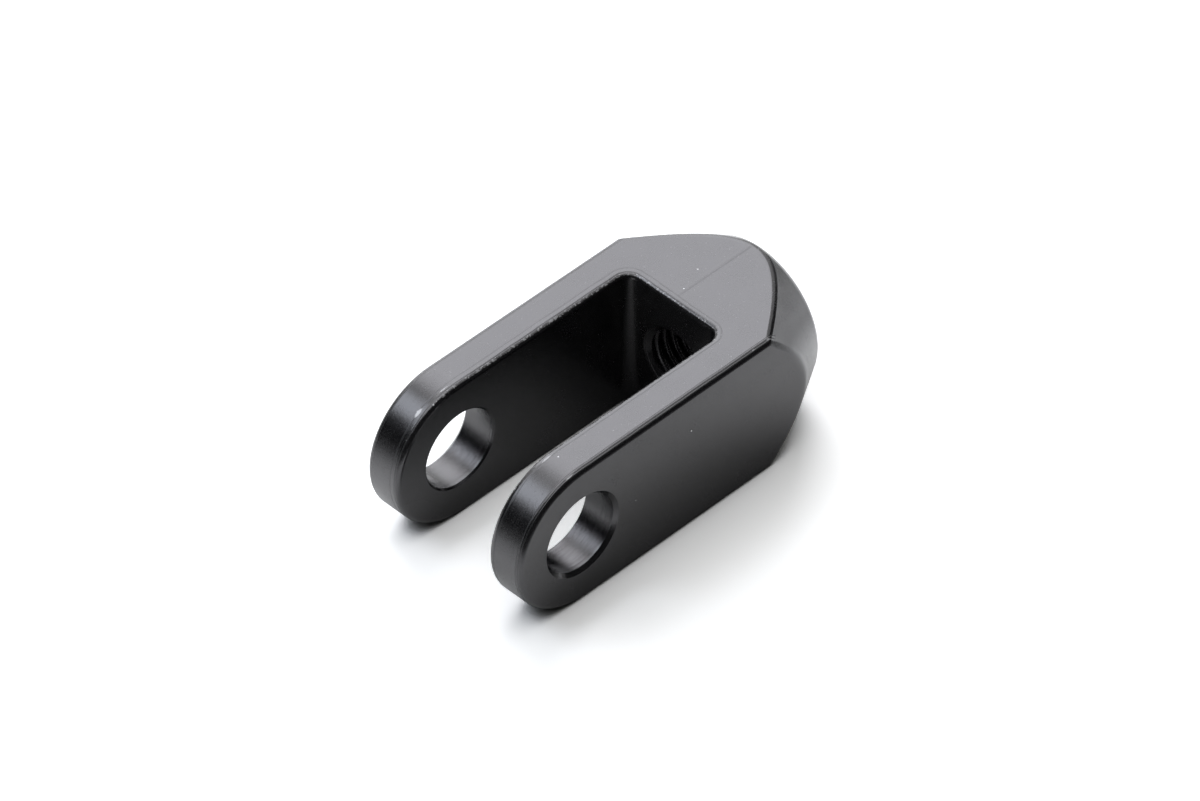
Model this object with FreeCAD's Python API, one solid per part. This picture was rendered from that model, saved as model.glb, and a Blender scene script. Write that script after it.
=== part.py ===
import FreeCAD, Part
import math
import os

# Clevis rod end: a one-piece fork, machined from rectangular bar.
#
# Two ears with full-round tips carry a cross pin. Between them lies a milled
# slot with a rounded corner each side of its end wall. Behind the slot the bar
# is turned to a short cone that ends in a rounded nose, and a tapped bore
# runs along the middle from the nose into the slot.
#
# Axes: the origin is the middle of the pin bore, halfway between the ears.
# +X runs along the bar to the nose, +Y along the pin, +Z up. The part lies on
# its flat side, so the slot is open above and below. All sizes are millimetres.

V = FreeCAD.Vector

# Bar and overall length
section_height = 12.7
section_width = 16.0
overall_length = 32.8

# Slot between the ears
slot_width = 9.5
slot_depth = 23.6
slot_corner_radius = 1.0

# Cross pin bore through both ears
pin_bore_diameter = 6.7
pin_bore_outer_chamfer = 0.3
pin_bore_inner_chamfer = 0.15

# Tapped bore along the bar, kept at the outer diameter of its thread
thread_diameter = 6.35
slot_mouth_chamfer = 0.1
nose_mouth_chamfer = 0.42

# Turned nose
nose_half_angle = 30.0
nose_end_diameter = 11.86
nose_rim_radius = 1.27

# Broken edges, left by tumbling outside and by a small cutter round the slot
outer_edge_radius = 0.5
slot_edge_radius = 0.45

# How far a cutting tool reaches past the metal
tool_overrun = 2.0

# Places that follow from the sizes above
tip_radius = section_height / 2.0
tip_x = -tip_radius
slot_end_x = tip_x + slot_depth
nose_x = tip_x + overall_length
half_width = section_width / 2.0
half_slot = slot_width / 2.0
half_height = section_height / 2.0


def side_outline():
    """Closed outline of the bar seen along the pin: flat, full-round tip, flat."""
    upper_rear = V(nose_x, -half_width, half_height)
    upper_front = V(0.0, -half_width, half_height)
    tip = V(tip_x, -half_width, 0.0)
    lower_front = V(0.0, -half_width, -half_height)
    lower_rear = V(nose_x, -half_width, -half_height)
    return Part.Wire([
        Part.LineSegment(upper_rear, upper_front).toShape(),
        Part.Arc(upper_front, tip, lower_front).toShape(),
        Part.LineSegment(lower_front, lower_rear).toShape(),
        Part.LineSegment(lower_rear, upper_rear).toShape(),
    ])


def bar_blank():
    """The bar with its rounded front end, over its whole width."""
    return Part.Face(side_outline()).extrude(V(0.0, section_width, 0.0))


def turned_envelope():
    """What the lathe leaves: a cylinder clear of the bar, then the nose cone."""
    nose_end_radius = nose_end_diameter / 2.0
    clear_radius = math.hypot(half_width, half_height) + tool_overrun
    cone_length = (clear_radius - nose_end_radius) / math.tan(math.radians(nose_half_angle))
    cone_start_x = nose_x - cone_length
    front_x = min(tip_x, cone_start_x) - tool_overrun
    profile = Part.makePolygon([
        V(front_x, 0.0, 0.0),
        V(front_x, 0.0, -clear_radius),
        V(cone_start_x, 0.0, -clear_radius),
        V(nose_x, 0.0, -nose_end_radius),
        V(nose_x, 0.0, 0.0),
        V(front_x, 0.0, 0.0),
    ])
    turned = Part.Face(profile).revolve(V(0.0, 0.0, 0.0), V(1.0, 0.0, 0.0), 360.0)
    rim = [edge for edge in turned.Edges if is_circle(edge, nose_end_radius, nose_x)]
    return turned.makeFillet(nose_rim_radius, rim)


def is_circle(edge, radius, centre_x):
    """True for a circular edge of this radius whose centre lies at this X."""
    if not isinstance(edge.Curve, Part.Circle):
        return False
    same_radius = abs(edge.Curve.Radius - radius) < 1e-6
    return same_radius and abs(edge.Curve.Center.x - centre_x) < 1e-6


def slot_cutter():
    """Box for the slot, rounded on its two upright edges inside the metal."""
    front_x = tip_x - tool_overrun
    height = section_height + 2.0 * tool_overrun
    corner = V(front_x, -half_slot, -height / 2.0)
    cutter = Part.makeBox(slot_end_x - front_x, slot_width, height, corner)
    upright = [edge for edge in cutter.Edges if is_upright_at(edge, slot_end_x)]
    return cutter.makeFillet(slot_corner_radius, upright)


def is_upright_at(edge, x):
    """True for an edge along Z at this X."""
    box = edge.BoundBox
    return box.XLength < 1e-6 and box.YLength < 1e-6 and abs(box.XMin - x) < 1e-6


def pin_bore_cutter():
    """Drill for both ears, with a small cone at each of the four rims."""
    radius = pin_bore_diameter / 2.0
    length = section_width + 2.0 * tool_overrun
    cutter = Part.makeCylinder(radius, length, V(0.0, -length / 2.0, 0.0), V(0.0, 1.0, 0.0))
    for side in (-1.0, 1.0):
        outer_face = V(0.0, side * half_width, 0.0)
        inner_face = V(0.0, side * half_slot, 0.0)
        into_outer = V(0.0, -side, 0.0)
        into_inner = V(0.0, side, 0.0)
        cutter = cutter.fuse(rim_cone(outer_face, into_outer, radius, pin_bore_outer_chamfer))
        cutter = cutter.fuse(rim_cone(inner_face, into_inner, radius, pin_bore_inner_chamfer))
    return cutter


def thread_bore_cutter():
    """Drill from the nose into the slot, countersunk at both mouths."""
    radius = thread_diameter / 2.0
    length = nose_x - slot_end_x + 2.0 * tool_overrun
    start = V(slot_end_x - tool_overrun, 0.0, 0.0)
    cutter = Part.makeCylinder(radius, length, start, V(1.0, 0.0, 0.0))
    slot_mouth = rim_cone(V(slot_end_x, 0.0, 0.0), V(1.0, 0.0, 0.0), radius, slot_mouth_chamfer)
    nose_mouth = rim_cone(V(nose_x, 0.0, 0.0), V(-1.0, 0.0, 0.0), radius, nose_mouth_chamfer)
    return cutter.fuse(slot_mouth).fuse(nose_mouth)


def rim_cone(face_point, inward, bore_radius, chamfer):
    """Right-angled countersink at a bore's rim, running on past the face.

    face_point is where the bore's axis meets the face, and inward points from
    the face into the metal.
    """
    start = face_point - inward * chamfer
    return Part.makeCone(bore_radius + 2.0 * chamfer, bore_radius, 2.0 * chamfer, start, inward)


def middle_of(edge):
    """The point halfway along an edge."""
    return edge.valueAt((edge.FirstParameter + edge.LastParameter) / 2.0)


def is_outer_edge(edge):
    """True for the long edges, the tips' outer outlines and the nose's edges."""
    middle = middle_of(edge)
    on_side = abs(abs(middle.y) - half_width) < 1e-6
    on_flat = abs(abs(middle.z) - half_height) < 1e-6
    cut_by_cone = not isinstance(edge.Curve, (Part.Line, Part.Circle))
    return on_side or (on_flat and cut_by_cone)


def is_slot_rim(edge, cutter):
    """True for an edge where the slot's walls meet the flats or the tips."""
    on_cutter = cutter.distToShape(Part.Vertex(middle_of(edge)))[0] < 1e-6
    upright = edge.BoundBox.XLength < 1e-6 and edge.BoundBox.YLength < 1e-6
    return on_cutter and not upright


def clevis():
    """The finished fork: turned and slotted, its edges broken, then bored."""
    slot = slot_cutter()
    body = bar_blank().common(turned_envelope()).cut(slot)
    outer_edges = [edge for edge in body.Edges if is_outer_edge(edge)]
    body = body.makeFillet(outer_edge_radius, outer_edges)
    slot_rim = [edge for edge in body.Edges if is_slot_rim(edge, slot)]
    body = body.makeFillet(slot_edge_radius, slot_rim)
    body = body.cut(pin_bore_cutter())
    body = body.cut(thread_bore_cutter())
    return body.Solids[0]


def main():
    os.makedirs("parts", exist_ok=True)
    body = clevis()
    body.exportStep("parts/clevis_body.step")
    box = body.optimalBoundingBox(False, False)
    print("clevis_body: valid", body.isValid(), "solids", len(body.Solids))
    print("size", round(box.XLength, 3), round(box.YLength, 3), round(box.ZLength, 3))
    print("volume", round(body.Volume, 1), "mm3")


main()
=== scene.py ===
# %% [markdown]
# A clevis rod end in black anodised aluminium: a small fork cut from one bar, with a pin hole through both
# ears and a threaded hole in its nose. The machined shape arrives ready made, as a frame that this script
# never moves. What is built here is the light, the finish, and the turns of thread inside the nose.
# The frame is loaded first, because every later piece is placed by its numbers.

# %% Load the machined frame
import math

import bpy
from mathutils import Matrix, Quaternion, Vector


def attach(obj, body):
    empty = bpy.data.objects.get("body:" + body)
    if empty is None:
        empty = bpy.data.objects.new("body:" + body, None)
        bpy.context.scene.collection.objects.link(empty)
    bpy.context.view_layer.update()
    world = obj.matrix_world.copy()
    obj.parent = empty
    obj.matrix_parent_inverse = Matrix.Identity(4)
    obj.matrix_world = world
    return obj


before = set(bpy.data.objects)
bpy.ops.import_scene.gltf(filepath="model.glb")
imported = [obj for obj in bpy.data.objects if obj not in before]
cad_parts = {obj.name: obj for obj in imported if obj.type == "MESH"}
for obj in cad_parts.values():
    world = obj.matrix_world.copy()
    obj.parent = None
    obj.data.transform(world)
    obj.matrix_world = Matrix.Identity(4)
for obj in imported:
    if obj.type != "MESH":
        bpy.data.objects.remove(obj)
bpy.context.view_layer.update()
MM = 0.001
print("machined nodes:", sorted(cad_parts))

# %% [markdown]
# The table, the finish and the thread all need to know where the fork's faces are, so its main sizes are
# named once. They could be read off the mesh, but a named size is easier to follow. The origin is the middle
# of the pin hole, +X runs to the nose, +Y along the pin, and +Z is up.

# %% Name the fork's sizes
height = 12.7 * MM
width = 16.0 * MM
slot_width = 9.5 * MM
slot_end_x = 17.25 * MM
slot_corner_radius = 1.0 * MM
nose_x = 26.45 * MM
floor_z = -height / 2
part_middle = Vector((10 * MM, 0.0, 0.0))
print("ear thickness in mm:", round((width - slot_width) / 2 / MM, 3))

# %% [markdown]
# The picture is taken with a long lens from above and to the front left, so the ears look almost parallel.
# A long lens far away and a short lens close up can frame a part alike, but only the long one keeps its
# edges parallel. The camera is aimed at a point on the part's middle plane, then turned a little about its
# own axis, because the picture is not quite level.

# %% Place the camera
camera_place = Vector((-308.169, -335.355, 437.682)) * MM
camera_target = Vector((10.742, 1.205, 0.0)) * MM
camera_roll = math.radians(-1.363)
lens_mm = 261.07
sensor_mm = 36.0
nearest_seen = 10 * MM
farthest_seen = 20000 * MM


def aim(thing, target):
    """Turn a lamp or a camera, which both look along their own -Z, towards a point."""
    thing.rotation_mode = "QUATERNION"
    thing.rotation_quaternion = (target - thing.location).to_track_quat("-Z", "Y")


camera_data = bpy.data.cameras.new("camera")
camera_data.lens = lens_mm
camera_data.sensor_width = sensor_mm
camera_data.clip_start = nearest_seen
camera_data.clip_end = farthest_seen
camera = bpy.data.objects.new("camera", camera_data)
bpy.context.scene.collection.objects.link(camera)
camera.location = camera_place
aim(camera, camera_target)
camera.rotation_quaternion = camera.rotation_quaternion @ Quaternion((0, 0, 1), camera_roll)
bpy.context.scene.camera = camera
print("camera distance in mm:", round((camera_target - camera_place).length / MM, 1))

# %% [markdown]
# Node materials are built with a few small helpers. The first makes a node and sets its plain values, the
# second joins an output to an input, the third does one sum, and the last starts an empty material. Written
# out in full each time, the same steps would hide what each material is.

# %% Helpers for single nodes


def add_node(tree, kind, settings=None, values=None):
    """A new node, with its own settings and the plain values of its sockets."""
    made = tree.nodes.new(kind)
    for name, value in (settings or {}).items():
        setattr(made, name, value)
    for name, value in (values or {}).items():
        made.inputs[name].default_value = value
    return made


def feed(tree, target, source):
    """Join a source socket to a target socket, or write a plain number into it."""
    if isinstance(source, (int, float)):
        target.default_value = source
    else:
        tree.links.new(source, target)


def math_node(tree, operation, *sources):
    """One sum, product or comparison of sockets and plain numbers; gives its output socket."""
    made = add_node(tree, "ShaderNodeMath", {"operation": operation})
    for target, source in zip(made.inputs, sources):
        feed(tree, target, source)
    return made.outputs[0]


def empty_material(name):
    """A material with an empty node tree and its output node."""
    material = bpy.data.materials.new(name)
    material.use_nodes = True
    material.node_tree.nodes.clear()
    output = add_node(material.node_tree, "ShaderNodeOutputMaterial")
    return material, material.node_tree, output


print("helpers for single nodes are ready")

# %% [markdown]
# Sums that come back often get helpers of their own. A ramp turns a distance into a mask, a number from 0 to
# 1 with an eased slope between, and a band is a ramp on both sides of a line. A colour ramp node could do the
# same, but this one says its two ends in the distance's own units.

# %% Helpers for sums and masks


def ramp(tree, value, start, end):
    """0 before start and 1 after end, with an eased slope between; start may be the larger one."""
    made = add_node(tree, "ShaderNodeMapRange", {"interpolation_type": "SMOOTHSTEP"})
    low, high = min(start, end), max(start, end)
    targets = (0.0, 1.0) if start < end else (1.0, 0.0)
    for target, source in zip(made.inputs, (value, low, high) + targets):
        feed(tree, target, source)
    return made.outputs[0]


def band(tree, distance, centre, half_width, softness):
    """1 where a distance is within half_width of centre, fading to 0 over softness."""
    offset = math_node(tree, "ABSOLUTE", math_node(tree, "SUBTRACT", distance, centre))
    return ramp(tree, offset, half_width + softness, half_width)


def chain(tree, operation, sources):
    """One operation carried through all the sources, from the first to the last."""
    result = sources[0]
    for source in sources[1:]:
        result = math_node(tree, operation, result, source)
    return result


def product(tree, *sources):
    """All the sources multiplied together."""
    return chain(tree, "MULTIPLY", sources)


def total(tree, *sources):
    """All the sources added up."""
    return chain(tree, "ADD", sources)


def largest(tree, *sources):
    """The largest of the sources."""
    return chain(tree, "MAXIMUM", sources)


def add_scaled(tree, base, mark, amount):
    """The base plus a mark times an amount."""
    return math_node(tree, "MULTIPLY_ADD", mark, amount, base)


def from_low_to_one(tree, mask, low):
    """The low level where a mask is 0, and 1 where it is 1."""
    return add_scaled(tree, low, mask, 1.0 - low)


def root_of_squares(tree, first, second):
    """The length of a right triangle's long side."""
    return math_node(tree, "SQRT", add_scaled(tree, product(tree, second, second), first, first))


print("helpers for sums and masks are ready")

# %% [markdown]
# The part lies on a wide table of white paper. A studio would sweep the paper up behind the part; here one
# flat square reaches so far that the camera sees nothing else, which is simpler and casts no fold.

# %% Lay the table
table_half_size = 1500 * MM

table_mesh = bpy.data.meshes.new("table")
corners = [(-1, -1), (1, -1), (1, 1), (-1, 1)]
table_mesh.from_pydata(
    [(x * table_half_size, y * table_half_size, floor_z) for x, y in corners],
    [],
    [(0, 1, 2, 3)],
)
table = bpy.data.objects.new("table", table_mesh)
bpy.context.scene.collection.objects.link(table)
print("table at z in mm:", round(floor_z / MM, 2))

# %% [markdown]
# The exposure of the picture turns the paper to pure white, except where the part shades it. More lamp light
# would whiten the paper, but it would bleach the part too. Instead the paper's own colour is lifted past
# white for the rays that end in the picture: those from the camera, and those from a reflection. Rays that
# carry light between surfaces meet ordinary paper. A Light Path node tells these rays apart.

# %% Tell the rays apart


def mirrored_ray(tree):
    """1 for rays that arrive by way of a reflection or through something clear."""
    rays = add_node(tree, "ShaderNodeLightPath").outputs
    return math_node(tree, "MAXIMUM", rays["Is Glossy Ray"], rays["Is Transmission Ray"])


def camera_ray(tree):
    """1 for rays that come straight from the camera."""
    return add_node(tree, "ShaderNodeLightPath").outputs["Is Camera Ray"]


print("rays are told apart by a Light Path node")

# %% [markdown]
# For reflections the paper's colour holds painted light and shade: a painted pool of light that fades
# towards its rim and towards the front, painted a little brighter behind the part and by its nose, and
# painted shade in the narrow places close to the part. That is what gives a black part its soft shading.
# Ambient occlusion measures how enclosed a place is; more lamps could shape the pool, but they would light
# the part as well.

# %% Paint the mirrored pool of light and shade
mirrored_exposure = 1.68
pool_radii = (75 * MM, 15 * MM)
pool_rim_level = 0.42
far_corner_range = (25 * MM, 60 * MM)
front_range = (-28 * MM, -14.5 * MM)
front_level = 0.10
front_slant = 0.20
back_range = (2 * MM, 14 * MM)
back_gain = 0.18
nose_along_range = (24 * MM, 36 * MM)
nose_across_range = (-15 * MM, -8 * MM)
nose_gain = 0.28
enclosed_reach = 10.5 * MM
enclosed_power = 2.1
occlusion_samples = 8


def openness(tree, reach):
    """1 on open paper, and less where something stands within reach."""
    settings = {"samples": occlusion_samples}
    return add_node(tree, "ShaderNodeAmbientOcclusion", settings, {"Distance": reach}).outputs["AO"]


def painted_mirrored_paper(tree, place):
    """The paper's painted light and shade at a place, as a reflection shows it."""
    from_part = add_node(tree, "ShaderNodeVectorMath", {"operation": "DISTANCE"})
    feed(tree, from_part.inputs[0], place)
    from_part.inputs[1].default_value = (part_middle.x, part_middle.y, floor_z)
    split = add_node(tree, "ShaderNodeSeparateXYZ")
    feed(tree, split.inputs[0], place)
    along, across = split.outputs["X"], split.outputs["Y"]
    # painted light: a pool that fades towards its rim and stays bright towards the far corner
    pool = from_low_to_one(tree, ramp(tree, from_part.outputs["Value"], *pool_radii), pool_rim_level)
    pool = largest(tree, pool, ramp(tree, total(tree, along, across), *far_corner_range))
    # painted shade: the paper is darker towards the front
    slanted = add_scaled(tree, across, math_node(tree, "MINIMUM", along, 0.0), -front_slant)
    front = from_low_to_one(tree, ramp(tree, slanted, *front_range), front_level)
    # painted light: the paper is brighter behind the part and by its nose
    by_nose = product(tree, ramp(tree, along, *nose_along_range), ramp(tree, across, *nose_across_range))
    back = add_scaled(tree, 1.0, ramp(tree, across, *back_range), back_gain)
    back = add_scaled(tree, back, by_nose, nose_gain)
    # painted shade: the paper is darker where the part encloses it
    painted_nook_shade = math_node(tree, "POWER", openness(tree, enclosed_reach), enclosed_power)
    return product(tree, pool, front, back, painted_nook_shade, mirrored_exposure)


print("mirrored pool radius in mm:", round(pool_radii[0] / MM))

# %% [markdown]
# The camera sees the paper lifted to white, apart from a painted contact shadow: a dark line right under
# the round tips, where part and paper meet. The two levels are put together by the kind of ray, and a faint
# warm tint stays on both.

# %% Mix the white paper
paper_grey = 0.88
paper_colour = (paper_grey, paper_grey * 0.997, paper_grey * 0.98)
paper_exposure = 1.80
painted_contact_shadow_reach = 2.2 * MM
painted_contact_shadow_range = (0.25, 0.60)
painted_contact_shadow_level = 0.05


def seen_paper(tree):
    """The paper's level for the camera, with a painted contact shadow, and 1 for rays that carry light."""
    # painted shadow: the paper darkens where the part's round tips meet it
    painted_contact_dimming = from_low_to_one(tree, ramp(tree, openness(tree, painted_contact_shadow_reach), *painted_contact_shadow_range), painted_contact_shadow_level)
    return add_scaled(tree, 1.0, camera_ray(tree), add_scaled(tree, -1.0, painted_contact_dimming, paper_exposure))


paper, tree, output = empty_material("white_paper")
matte = add_node(tree, "ShaderNodeBsdfDiffuse")
place = add_node(tree, "ShaderNodeNewGeometry").outputs["Position"]
level = add_node(tree, "ShaderNodeMix", {"data_type": "FLOAT"})
feed(tree, level.inputs[0], mirrored_ray(tree))
feed(tree, level.inputs[2], seen_paper(tree))
feed(tree, level.inputs[3], painted_mirrored_paper(tree, place))
tint = add_node(tree, "ShaderNodeVectorMath", {"operation": "SCALE"})
tint.inputs[0].default_value = paper_colour
feed(tree, tint.inputs["Scale"], level.outputs[0])
feed(tree, matte.inputs["Color"], tint.outputs[0])
feed(tree, output.inputs["Surface"], matte.outputs[0])
table_mesh.materials.append(paper)
print("paper nodes:", len(tree.nodes))

# %% [markdown]
# A black part shows almost nothing of its own colour. What makes its shape readable is what it mirrors: a
# wide soft lamp behind it greys the top, and darkness near the horizon draws the edges. Point lamps would
# give hard sparks, so every lamp here is a large soft panel at a plain level. Each row gives a panel's
# azimuth and elevation in degrees, its distance, width and height in millimetres, its level and its colour.

# %% Hang the soft lamps
soft_panels = {
    "ceiling_panel": (45, 90, 700, 760, 760, 1.7, (0.97, 0.98, 1.0)),
    "back_panel": (56, 42, 600, 436, 380, 3.2, (0.94, 0.95, 1.0)),
    "low_back_panel": (58, 14, 620, 440, 190, 1.7, (0.96, 0.97, 1.0)),
    "left_panel": (132, 47.8, 600, 400, 188, 3.6, (0.84, 0.90, 1.0)),
}


def hang_panel(name, azimuth, elevation, distance, panel_width, panel_height, level, colour):
    """A rectangular lamp that faces the part; azimuth is counted from +X towards +Y."""
    data = bpy.data.lights.new(name, "AREA")
    data.shape = "RECTANGLE"
    data.size = panel_width * MM
    data.size_y = panel_height * MM
    data.energy = level * math.pi * data.size * data.size_y
    data.color = colour
    lamp = bpy.data.objects.new(name, data)
    bpy.context.scene.collection.objects.link(lamp)
    turn, rise = math.radians(azimuth), math.radians(elevation)
    heading = Vector((math.cos(turn) * math.cos(rise), math.sin(turn) * math.cos(rise), math.sin(rise)))
    lamp.location = part_middle + heading * distance * MM
    aim(lamp, part_middle)
    print(name, "energy in W:", round(data.energy, 2))


for name, panel in soft_panels.items():
    hang_panel(name, *panel)

# %% [markdown]
# Dark cards stand on the table round the front and the sides, as a photographer puts black card beside a
# glossy part. Their reflection is the dark line between the grey top and the grey side. The outline below
# gives, at some azimuths in degrees, the height of their lower edge in millimetres and the angle of their
# upper edge in degrees: highest in front, raised off the table by the nose, and left open at the back, where
# the part shows the white paper.

# %% Stand dark cards round the table
card_radius = 110 * MM
card_step = 5
floor_mm = floor_z / MM
card_outline = (
    (100, floor_mm, 26),
    (120, floor_mm, 32),
    (165, floor_mm, 35),
    (190, floor_mm, 40),
    (215, floor_mm, 52),
    (245, floor_mm, 62),
    (275, floor_mm, 56),
    (300, floor_mm, 42),
    (325, floor_mm, 37),
    (345, 13.0, 36),
    (360, 13.0, 34),
    (380, 13.0, 15),
)


def card_edges(azimuth):
    """Height of the cards' lower edge, and the angle of their upper edge, at an azimuth."""
    for before, after in zip(card_outline, card_outline[1:]):
        if azimuth <= after[0]:
            share = (azimuth - before[0]) / (after[0] - before[0])
            return [low + (high - low) * share for low, high in zip(before[1:], after[1:])]
    return card_outline[-1][1:]


card_corners = []
for azimuth in range(card_outline[0][0], card_outline[-1][0] + 1, card_step):
    angle = math.radians(azimuth)
    lower_mm, rise = card_edges(azimuth)
    x = part_middle.x + card_radius * math.cos(angle)
    y = card_radius * math.sin(angle)
    card_corners.append((x, y, lower_mm * MM))
    card_corners.append((x, y, card_radius * math.tan(math.radians(rise))))
card_faces = []
for first in range(0, len(card_corners) - 2, 2):
    card_faces.append((first, first + 2, first + 3, first + 1))
card_mesh = bpy.data.meshes.new("dark_cards")
card_mesh.from_pydata(card_corners, [], card_faces)
dark_cards = bpy.data.objects.new("dark_cards", card_mesh)
bpy.context.scene.collection.objects.link(dark_cards)
print("card faces:", len(card_faces))

# %% [markdown]
# The camera does not see the cards, so the part can be looked at from every side against white, and they
# cast no shadow on the table. They work only in reflections. The foot of the left card is painted greyer,
# to stand for light that spills on it.

# %% Paint the dark cards
card_black = 0.02
card_foot_painted_spill_grey = 0.45
card_foot_range = (26 * MM, floor_z)
card_left_range = (-35 * MM, -80 * MM)
card_back_range = (-45 * MM, 5 * MM)

dark_cards.visible_camera = False
dark_cards.visible_shadow = False
dark_cards.visible_diffuse = False
card_paint, tree, output = empty_material("dark_card")
matte = add_node(tree, "ShaderNodeBsdfDiffuse")
split = add_node(tree, "ShaderNodeSeparateXYZ")
feed(tree, split.inputs[0], add_node(tree, "ShaderNodeNewGeometry").outputs["Position"])
far_left = ramp(tree, split.outputs["X"], *card_left_range)
on_left = product(tree, far_left, ramp(tree, split.outputs["Y"], *card_back_range))
# painted light: the foot of the left card is painted grey for spilled light
foot = product(tree, ramp(tree, split.outputs["Z"], *card_foot_range), on_left)
feed(tree, matte.inputs["Color"], add_scaled(tree, card_black, foot, card_foot_painted_spill_grey))
feed(tree, output.inputs["Surface"], matte.outputs[0])
card_mesh.materials.append(card_paint)
print("card nodes:", len(tree.nodes))

# %% [markdown]
# The room beyond the lamps is dim, and it fills the shadows a little. Where the camera or a reflection
# looks past the table, it meets the same white as the paper. A white room for all rays would be simpler,
# but it would flood the part with light from every side.

# %% Fill the room
room_lights = {"dim": ((1.0, 0.99, 0.97, 1.0), 0.08), "white": ((1.0, 1.0, 1.0, 1.0), 1.0)}

world = bpy.data.worlds.new("room")
bpy.context.scene.world = world
world.use_nodes = True
tree = world.node_tree
tree.nodes.clear()
output = add_node(tree, "ShaderNodeOutputWorld")
choose = add_node(tree, "ShaderNodeMixShader")
feed(tree, choose.inputs[0], math_node(tree, "MAXIMUM", camera_ray(tree), mirrored_ray(tree)))
for target, (colour, strength) in zip(choose.inputs[1:], room_lights.values()):
    light = add_node(tree, "ShaderNodeBackground", values={"Color": colour, "Strength": strength})
    feed(tree, target, light.outputs[0])
feed(tree, output.inputs["Surface"], choose.outputs[0])
bpy.context.scene.view_settings.view_transform = "Standard"
print("room nodes:", len(tree.nodes))

# %% [markdown]
# Marks of the making follow the edges of the fork, so the finish first measures where a point lies, in
# millimetres. The distance to the slot's edge is that to a rectangle with two rounded corners, seen from
# above. On the crease by the nose a point lies both on the turned cone and on a flat of the bar, so its
# depths below the two are added up. The marks could be painted on the mesh by hand, but worked out they stay
# right on every face.

# %% Measure where a point lies on the fork
half_slot_mm = slot_width / 2 / MM
half_width_mm = width / 2 / MM
half_height_mm = height / 2 / MM
corner_mm = slot_corner_radius / MM
slot_end_mm = slot_end_x / MM
nose_mm = nose_x / MM
nose_end_radius_mm = 5.93
cone_angle = math.radians(30)


def slot_distance(tree, x, across):
    """Distance from the slot's edge, seen from above: below 0 inside the slot."""
    past_end = math_node(tree, "SUBTRACT", x, slot_end_mm - corner_mm)
    past_side = math_node(tree, "SUBTRACT", across, half_slot_mm - corner_mm)
    outside = root_of_squares(tree, largest(tree, past_end, 0.0), largest(tree, past_side, 0.0))
    inside = math_node(tree, "MINIMUM", largest(tree, past_end, past_side), 0.0)
    return math_node(tree, "SUBTRACT", total(tree, outside, inside), corner_mm)


def crease_distance(tree, x, from_axis, bar_distance):
    """Distance from the line where the nose's cone meets the flats of the bar."""
    behind_nose = math_node(tree, "SUBTRACT", nose_mm, x)
    cone_radius = add_scaled(tree, nose_end_radius_mm, behind_nose, math.tan(cone_angle))
    cone_depth = product(tree, math_node(tree, "SUBTRACT", cone_radius, from_axis), math.cos(cone_angle))
    return product(tree, total(tree, cone_depth, bar_distance), 1.0 / math.sin(cone_angle))


def fork_places(tree):
    """Sockets that say where a point lies: its place, and its distance from each kind of edge."""
    to_mm = add_node(tree, "ShaderNodeVectorMath", {"operation": "SCALE"}, {"Scale": 1 / MM})
    feed(tree, to_mm.inputs[0], add_node(tree, "ShaderNodeTexCoord").outputs["Object"])
    split = add_node(tree, "ShaderNodeSeparateXYZ")
    feed(tree, split.inputs[0], to_mm.outputs[0])
    x, y, z = split.outputs
    across = math_node(tree, "ABSOLUTE", y)
    upright = math_node(tree, "ABSOLUTE", z)
    side = math_node(tree, "SUBTRACT", half_width_mm, across)
    flat = math_node(tree, "SUBTRACT", half_height_mm, upright)
    from_axis = root_of_squares(tree, y, z)
    bar_distance = math_node(tree, "MINIMUM", side, flat)
    return {
        "place": to_mm.outputs[0],
        "x": x,
        "y": y,
        "z": z,
        "side": side,
        "flat": flat,
        "slot": slot_distance(tree, x, across),
        "pin": root_of_squares(tree, x, z),
        "crease": crease_distance(tree, x, from_axis, bar_distance),
    }


print("slot end at x in mm:", round(slot_end_mm, 3))

# %% [markdown]
# Each kind of mark keeps to its own surface: milling streaks lie round the tips, drilled rings in the pin
# hole, dust on the faces. So each surface gets a mask that is 1 on it and fades to 0 beside it. Each range
# gives two distances in millimetres: the mask is 0 up to the first and 1 from the second. Vertex groups could
# hold these masks, but they are only as sharp as the mesh.

# %% Mask the fork's surfaces
tip_front_range = (0.6, -1.2)
tip_range = (5.9, 6.2)
tip_edge_range = (5.80, 5.86)
face_range = (0.08, 0.02)
near_flat_range = (0.50, 0.42)
pin_hole_range = (3.62, 3.45)
slot_wall_range = (0.06, 0.01)
crease_range = (0.45, 0.04)
side_edge_band = (0.22, 0.10, 0.16)
slot_edge_band = (0.20, 0.10, 0.16)


def surface_masks(tree, at):
    """Masks that are 1 on one kind of surface and 0 away from it."""
    tip_front = ramp(tree, at["x"], *tip_front_range)
    tip = product(tree, tip_front, ramp(tree, at["pin"], *tip_range))
    tip_edge = product(tree, tip_front, ramp(tree, at["pin"], *tip_edge_range))
    flat = ramp(tree, at["flat"], *face_range)
    near_flat = ramp(tree, at["flat"], *near_flat_range)
    slot_edge = band(tree, at["slot"], *slot_edge_band)
    any_edge = largest(tree, band(tree, at["side"], *side_edge_band), slot_edge)
    return {
        "tip": tip,
        "flat": flat,
        "face": largest(tree, flat, ramp(tree, at["side"], *face_range)),
        "near_flat": near_flat,
        "flat_or_tip": largest(tree, flat, tip),
        "flat_or_tip_edge": largest(tree, near_flat, tip_edge),
        "pin_hole": ramp(tree, at["pin"], *pin_hole_range),
        "slot_wall": ramp(tree, at["slot"], *slot_wall_range),
        "slot_edge": slot_edge,
        "edge": product(tree, any_edge, math_node(tree, "SUBTRACT", 1.0, flat)),
        "crease": ramp(tree, at["crease"], *crease_range),
    }


print("faces fade over mm:", round(face_range[0] - face_range[1], 3))

# %% [markdown]
# Blasting, milling and drilling all leave fine uneven texture. It is the same noise each time, squeezed or
# stretched along an axis: a streak is noise squeezed across the cut, and a drilled ring is noise squeezed
# along the drill. Each row gives the noise's scale per millimetre along X, Y and Z, and its detail.

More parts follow.
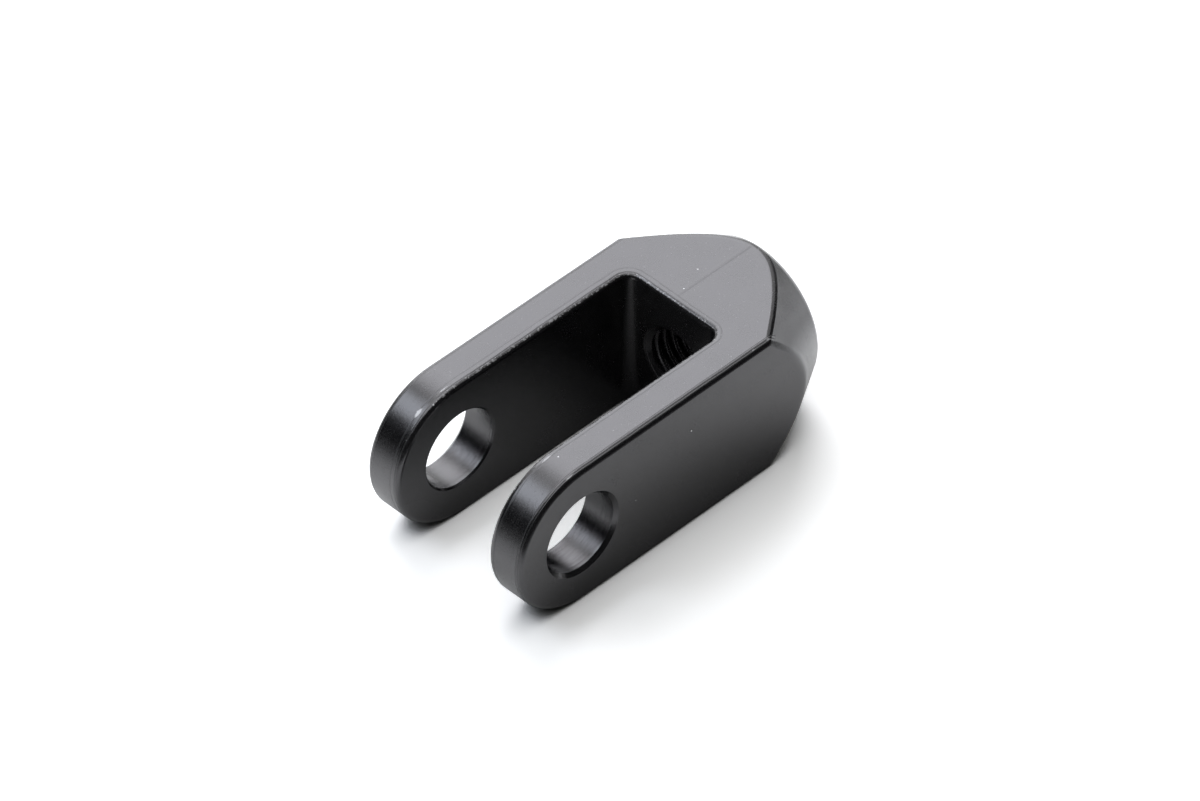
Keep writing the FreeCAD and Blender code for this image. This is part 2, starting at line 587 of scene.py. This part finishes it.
# %% Make the grain and the streaks
noise_kinds = {
    "grain": (8.0, 8.0, 8.0, 3.0),
    "mottle": (5.0, 5.0, 5.0, 2.0),
    "cloud": (0.5, 0.5, 0.5, 2.0),
    "nick_and_glint_marks": (2.6, 2.6, 2.6, 3.0),
    "tip_streaks": (0.35, 13.0, 0.35, 2.0),
    "edge_streaks": (0.7, 16.0, 0.7, 2.0),
    "bore_rings": (0.25, 30.0, 0.25, 2.0),
    "wall_streaks": (0.5, 2.0, 9.0, 2.0),
}


def stretched_noise(tree, place, x_scale, y_scale, z_scale, detail):
    """Noise of a place that is stretched by its own scale along each axis."""
    stretch = add_node(tree, "ShaderNodeVectorMath", {"operation": "MULTIPLY"})
    feed(tree, stretch.inputs[0], place)
    stretch.inputs[1].default_value = (x_scale, y_scale, z_scale)
    noise = add_node(tree, "ShaderNodeTexNoise", values={"Scale": 1.0, "Detail": detail})
    feed(tree, noise.inputs["Vector"], stretch.outputs[0])
    return noise.outputs[0]


def all_noises(tree, place):
    """The output socket of each kind of noise, by its name."""
    return {name: stretched_noise(tree, place, *kind) for name, kind in noise_kinds.items()}


print("kinds of noise:", len(noise_kinds))

# %% [markdown]
# The cutters left fine lines beside the edges: a groove close to the slot's edge and a fainter line further
# out, and two grooves along the outer edges. None is quite straight, so the slow noise makes them wander.
# Another faint line, with a lip beside it, runs along the middle of the top behind the slot, where the bar
# was drawn. Modelled in the mesh, such lines would need millions of faces; in the finish they need a few
# nodes. Each band gives a line's distance from its edge, or from the middle of the top, then half its width
# and its softness, in millimetres.

# %% Draw the tool lines
line_wander = 0.08
side_wander_share = 0.5
rim_line_lean = 0.018
rim_line_band = (0.66, 0.03, 0.06)
slot_strip_band = (0.36, 0.26, 0.10)
slot_groove_band = (0.24, 0.02, 0.035)
outer_groove_band = (0.46, 0.02, 0.035)
inner_groove_band = (0.27, 0.02, 0.035)
side_strip_band = (0.30, 0.16, 0.08)
witness_line_band = (0.17, 0.04, 0.10)
witness_lip_band = (0.43, 0.03, 0.12)
witness_start_range = (17.6, 18.4)
witness_end_range = (25.9, 25.2)


def tool_lines(tree, at, on, cloud):
    """The lines and strips that the cutters left, by name."""
    wander = add_scaled(tree, -line_wander, cloud, 2 * line_wander)
    from_slot = total(tree, at["slot"], wander, product(tree, at["y"], -rim_line_lean))
    from_side = add_scaled(tree, at["side"], wander, side_wander_share)
    side_grooves = largest(
        tree, band(tree, from_side, *outer_groove_band), band(tree, from_side, *inner_groove_band)
    )
    behind_slot = ramp(tree, at["x"], *witness_start_range)
    before_nose = ramp(tree, at["x"], *witness_end_range)
    top_middle = product(tree, on["flat"], behind_slot, before_nose)
    return {
        "rim_line": product(tree, band(tree, from_slot, *rim_line_band), on["flat_or_tip"]),
        "slot_strip": product(tree, band(tree, from_slot, *slot_strip_band), on["flat_or_tip"]),
        "slot_groove": product(tree, band(tree, from_slot, *slot_groove_band), on["flat_or_tip_edge"]),
        "side_groove": product(tree, side_grooves, on["flat_or_tip_edge"]),
        "side_strip": product(tree, band(tree, from_side, *side_strip_band), on["flat_or_tip_edge"]),
        "witness_line": product(tree, band(tree, at["y"], *witness_line_band), top_middle),
        "witness_lip": product(tree, band(tree, at["y"], *witness_lip_band), top_middle),
    }


print("witness line length in mm:", round(witness_end_range[1] - witness_start_range[1], 1))

# %% [markdown]
# A few larger marks show bare metal where other parts knocked the tips and the edges, and their pale colour
# also paints the bright glints that those places catch. They are placed one by one, because noise alone puts
# such marks anywhere. Each row gives a mark's middle along X and Y, half its length, half its width, all in
# millimetres, and how pale it is.

# %% Rub the larger marks and paint their glints
# rubbed marks whose pale colour also paints the highlights on the tips and edges
rubbed_and_glint_marks = (
    (-3.30, 5.48, 0.50, 0.17, 0.95),
    (-0.95, 5.30, 0.45, 0.08, 0.55),
    (-2.30, 4.97, 0.08, 0.07, 0.80),
    (-0.85, -5.25, 0.60, 0.09, 0.70),
    (-0.90, -7.72, 0.50, 0.06, 0.70),
    (19.30, -7.72, 0.25, 0.07, 0.45),
    (17.70, -7.75, 0.15, 0.06, 0.35),
)
mark_fade_range = (1.0, 0.5)
mark_raggedness = 0.6
upper_side_range = (2.0, 2.2)
beyond_hole_range = (5.92, 6.02)


def rubbed_and_glint_mark(tree, at, ragged, x_mm, y_mm, half_length, half_width, paleness):
    """A small ragged patch on the upper side: black rubbed through to metal, painted pale as a glint."""
    along = product(tree, math_node(tree, "SUBTRACT", at["x"], x_mm), 1.0 / half_length)
    across = product(tree, math_node(tree, "SUBTRACT", at["y"], y_mm), 1.0 / half_width)
    unevenness = add_scaled(tree, -mark_raggedness, ragged, 2 * mark_raggedness)
    reach = total(tree, root_of_squares(tree, along, across), unevenness)
    upper = ramp(tree, at["z"], *upper_side_range)
    outer = ramp(tree, at["pin"], *beyond_hole_range)
    return product(tree, ramp(tree, reach, *mark_fade_range), upper, outer, paleness)


print("larger marks:", len(rubbed_and_glint_marks))

# %% [markdown]
# The rest of the wear is scattered, with painted glints among it. The slot's edge is chipped in a fine
# broken row and a few nicks show on the tips; their pale colour also paints the glints along those edges.
# Specks of dust lie on the faces, and tiny painted glints on the flats. Chips and nicks come from noise that
# is cut off at a level, and specks and glints from the middles of Voronoi cells, which spread them evenly.
# A second mesh of loose dust would cost far more and show no more.

# %% Scatter chips, nicks, specks and painted glints
nick_and_glint_cutoff = (0.70, 0.74)
chip_and_glint_cutoff = (0.52, 0.62)
chip_and_glint_row_band = (0.20, 0.06, 0.05)
chip_and_glint_pale_level = 0.40
speck_scale = 0.55
speck_range = (0.045, 0.030)
painted_glint_scale = 2.4
painted_glint_range = (0.16, 0.08)
painted_glint_paleness = 0.10
rubbed_edge_paleness = 0.010


def dots(tree, place, scale, size_range):
    """Small round dots, one in the middle of each Voronoi cell."""
    cells = add_node(tree, "ShaderNodeTexVoronoi", values={"Scale": scale})
    feed(tree, cells.inputs["Vector"], place)
    return ramp(tree, cells.outputs["Distance"], *size_range)


def pale_wear_and_glint_marks(tree, at, on, noises):
    """0 where the skin is black, up to 1 where bare metal, pale dust or a painted glint shows."""
    # nicks and chips: worn spots whose pale colour also paints glints along the tip and slot edges
    nick_and_glint_marks = product(tree, ramp(tree, noises["nick_and_glint_marks"], *nick_and_glint_cutoff), on["slot_edge"], on["tip"])
    chip_and_glint_row = product(tree, band(tree, at["slot"], *chip_and_glint_row_band), on["near_flat"])
    chip_and_glint_marks = product(tree, ramp(tree, noises["mottle"], *chip_and_glint_cutoff), chip_and_glint_row, chip_and_glint_pale_level)
    marks = [rubbed_and_glint_mark(tree, at, noises["nick_and_glint_marks"], *mark) for mark in rubbed_and_glint_marks]
    specks = product(tree, dots(tree, at["place"], speck_scale, speck_range), on["face"])
    # painted glints: tiny pale dots on the flats that stand for sparkles of light
    painted_glints = product(tree, dots(tree, at["place"], painted_glint_scale, painted_glint_range), on["flat"], painted_glint_paleness)
    rubbed = product(tree, on["edge"], rubbed_edge_paleness)
    return largest(tree, nick_and_glint_marks, chip_and_glint_marks, *marks, specks, painted_glints, rubbed)


print("chips are paler than the skin by:", chip_and_glint_pale_level)

# %% [markdown]
# Black anodising is a hard, glassy oxide skin, dyed black through and through, over fine-blasted metal. So
# it is not painted as a metal: it is a near black body with a clear, satin surface whose index of
# refraction is that of aluminium oxide. The marks then change two things. Some make the surface rougher or
# smoother, and some raise or sink it, in millimetres. The two lists below say by how much, mark by mark.

# %% List what each mark does
skin_roughness = 0.25
roughness_changes = {
    "grain": 0.16,
    "cloud": 0.10,
    "pin_hole": -0.05,
    "rim_line": 0.14,
    "witness_line": 0.12,
    "slot_groove": 0.18,
    "side_groove": 0.18,
    "edge": -0.04,
    "tip_ripple": 0.08,
}
relief_mm = {
    "grain": 0.0030,
    "mottle": 0.0028,
    "tip_streaks": 0.0010,
    "bore_rings": 0.0120,
    "wall_streaks": 0.0012,
    "slot_streaks": 0.0040,
    "side_streaks": 0.0050,
    "slot_groove": -0.0120,
    "side_groove": -0.0120,
    "crease": -0.0240,
    "rim_line": -0.0030,
    "witness_line": -0.0030,
    "witness_lip": 0.0015,
}
base_roughness = skin_roughness - (roughness_changes["grain"] + roughness_changes["cloud"]) / 2


def all_marks(tree, on, noises, lines):
    """Every mark that the two lists name, each kept to its own surface."""
    ripple = math_node(tree, "SUBTRACT", noises["tip_streaks"], 0.5)
    return {
        **on,
        **lines,
        "grain": noises["grain"],
        "mottle": noises["mottle"],
        "cloud": noises["cloud"],
        "tip_ripple": product(tree, ripple, on["tip"]),
        "tip_streaks": product(tree, noises["tip_streaks"], on["tip"]),
        "bore_rings": product(tree, noises["bore_rings"], on["pin_hole"]),
        "wall_streaks": product(tree, noises["wall_streaks"], on["slot_wall"]),
        "slot_streaks": product(tree, noises["edge_streaks"], lines["slot_strip"]),
        "side_streaks": product(tree, noises["edge_streaks"], lines["side_strip"]),
    }


def sum_of_marks(tree, start, amounts, marks):
    """A starting level plus each listed mark times its amount."""
    result = start
    for name, amount in amounts.items():
        result = add_scaled(tree, result, marks[name], amount)
    return result


print("marks that change the gloss:", len(roughness_changes), "and the height:", len(relief_mm))

# %% [markdown]
# Last, the skin itself: one Principled shader, black where the paleness is 0 and bare metal where it is 1;
# the same pale colour paints the glints.
# A bump node turns the summed heights into tilted reflections, which is how such shallow marks are seen.
# The index of refraction and the tint of the reflections are the same all over, so they are plain values.

# %% Mix the black anodised finish
skin_ior = 1.72
skin_tint = (0.985, 0.972, 1.0, 1.0)
skin_black = (0.0035, 0.0035, 0.0040, 1.0)
# pale colour of bare metal, also used to paint the glints and highlights
bare_metal_and_glint = (0.60, 0.60, 0.61, 1.0)


def anodised(name):
    """The black anodised finish, with every mark that follows the fork's edges."""
    material, tree, output = empty_material(name)
    at = fork_places(tree)
    on = surface_masks(tree, at)
    noises = all_noises(tree, at["place"])
    lines = tool_lines(tree, at, on, noises["cloud"])
    marks = all_marks(tree, on, noises, lines)
    skin_values = {"IOR": skin_ior, "Specular Tint": skin_tint}
    skin = add_node(tree, "ShaderNodeBsdfPrincipled", values=skin_values)
    feed(tree, skin.inputs["Roughness"], sum_of_marks(tree, base_roughness, roughness_changes, marks))
    bump = add_node(tree, "ShaderNodeBump", values={"Strength": 1.0, "Distance": MM})
    feed(tree, bump.inputs["Height"], sum_of_marks(tree, 0.0, relief_mm, marks))
    feed(tree, skin.inputs["Normal"], bump.outputs[0])
    colours = {"A": skin_black, "B": bare_metal_and_glint}
    colour = add_node(tree, "ShaderNodeMix", {"data_type": "RGBA"}, colours)
    # paleness: wear and dust, and painted glints
    feed(tree, colour.inputs["Factor"], pale_wear_and_glint_marks(tree, at, on, noises))
    feed(tree, skin.inputs["Base Color"], colour.outputs["Result"])
    feed(tree, output.inputs["Surface"], skin.outputs[0])
    return material


clevis_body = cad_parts["clevis_body"]
clevis_body.data.materials.clear()
clevis_body.data.materials.append(anodised("black_anodised_body"))
print("finish nodes:", len(clevis_body.data.materials[0].node_tree.nodes))

# %% [markdown]
# The nose is tapped for the end of a rod, and three turns of the thread can be seen through the slot. The
# machined frame stops at a plain bore of the thread's outer diameter, so the turns are a thin lining in that
# bore. A screw modifier would wind one tooth along the axis, but it leaves loose ends at both mouths. Here
# the tooth's outline gives the radius for every angle and every place along the axis instead, and the
# countersinks cut it away at the mouths.

# %% Shape the tooth of the thread
turns_per_inch = 32
inch_mm = 25.4
thread_pitch = inch_mm / turns_per_inch * MM
bore_radius = 3.175 * MM
root_radius = 3.148 * MM
tooth_share = 0.5413
crest_radius = bore_radius - tooth_share * thread_pitch
crest_share = 0.25
root_share = 0.125
thread_phase = 0.095
slot_mouth_chamfer = 0.1 * MM
nose_mouth_chamfer = 0.42 * MM
thread_start = slot_end_x + slot_mouth_chamfer
thread_end = nose_x - nose_mouth_chamfer


def tooth_radius(turns):
    """Radius of a 60 degree tooth with a flat crest and a flat root, by its place in the pitch."""
    place = abs((turns % 1.0) - 0.5) * 2.0
    climb = (place - crest_share) / (1.0 - crest_share - root_share)
    return crest_radius + (root_radius - crest_radius) * min(1.0, max(0.0, climb))


def thread_radius(x, angle):
    """Radius of the tapped hole: the tooth, cut back by the countersink at each mouth."""
    from_mouth = min(x - thread_start, thread_end - x)
    cone_radius = root_radius - from_mouth
    turns = (x - slot_end_x) / thread_pitch - angle / (2 * math.pi) + thread_phase
    return max(tooth_radius(turns), cone_radius)


print("tooth height in mm:", round((root_radius - crest_radius) / MM, 3))

# %% [markdown]
# The lining is a tube of rings. The inner rings follow the tooth, and two plain rings lie behind it, close
# to the bore's wall. Faces join each ring to the next and close the ends and the back, so the lining is one
# closed solid with no loose edge. Thirty rings to a turn keep the tooth's corners crisp.

# %% Wind the lining
lining_radius = 3.160 * MM
columns = 96
rows_per_turn = 30
row_count = round((thread_end - thread_start) / thread_pitch * rows_per_turn)

lining_points = []
lining_faces = []


def add_ring(x, radius_at):
    """One ring of points round the axis, with a radius for each angle; gives its first point's number."""
    first = len(lining_points)
    for column in range(columns):
        angle = 2 * math.pi * column / columns
        radius = radius_at(x, angle)
        lining_points.append((x, radius * math.cos(angle), radius * math.sin(angle)))
    return first


def plain_radius(x, angle):
    """The same radius all round, for the back of the lining."""
    return lining_radius


def join_rings(first, second):
    """Faces between two rings of points, seen from the side where the first turns to the second."""
    for column in range(columns):
        after = (column + 1) % columns
        lining_faces.append((first + column, second + column, second + after, first + after))


row_places = [thread_start + (thread_end - thread_start) * row / row_count for row in range(row_count + 1)]
inner_rings = [add_ring(x, thread_radius) for x in row_places]
slot_ring = add_ring(thread_start, plain_radius)
nose_ring = add_ring(thread_end, plain_radius)
for first, second in zip(inner_rings, inner_rings[1:]):
    join_rings(first, second)
join_rings(slot_ring, inner_rings[0])
join_rings(nose_ring, slot_ring)
join_rings(inner_rings[-1], nose_ring)
print("thread turns:", round((thread_end - thread_start) / thread_pitch, 1), "faces:", len(lining_faces))

# %% [markdown]
# The lining gets the same finish as the fork, because the thread was cut before the part was anodised. It
# rides with the body, as if it were one with it.

# %% Seat the thread in the nose
lining_mesh = bpy.data.meshes.new("bore_thread")
lining_mesh.from_pydata(lining_points, [], lining_faces)
lining_mesh.update()
for face in lining_mesh.polygons:
    face.use_smooth = True
bore_thread = bpy.data.objects.new("bore_thread", lining_mesh)
bpy.context.scene.collection.objects.link(bore_thread)
lining_mesh.materials.append(anodised("black_anodised_thread"))
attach(bore_thread, "root")
print("gap behind the thread in mm:", round((bore_radius - lining_radius) / MM, 3))
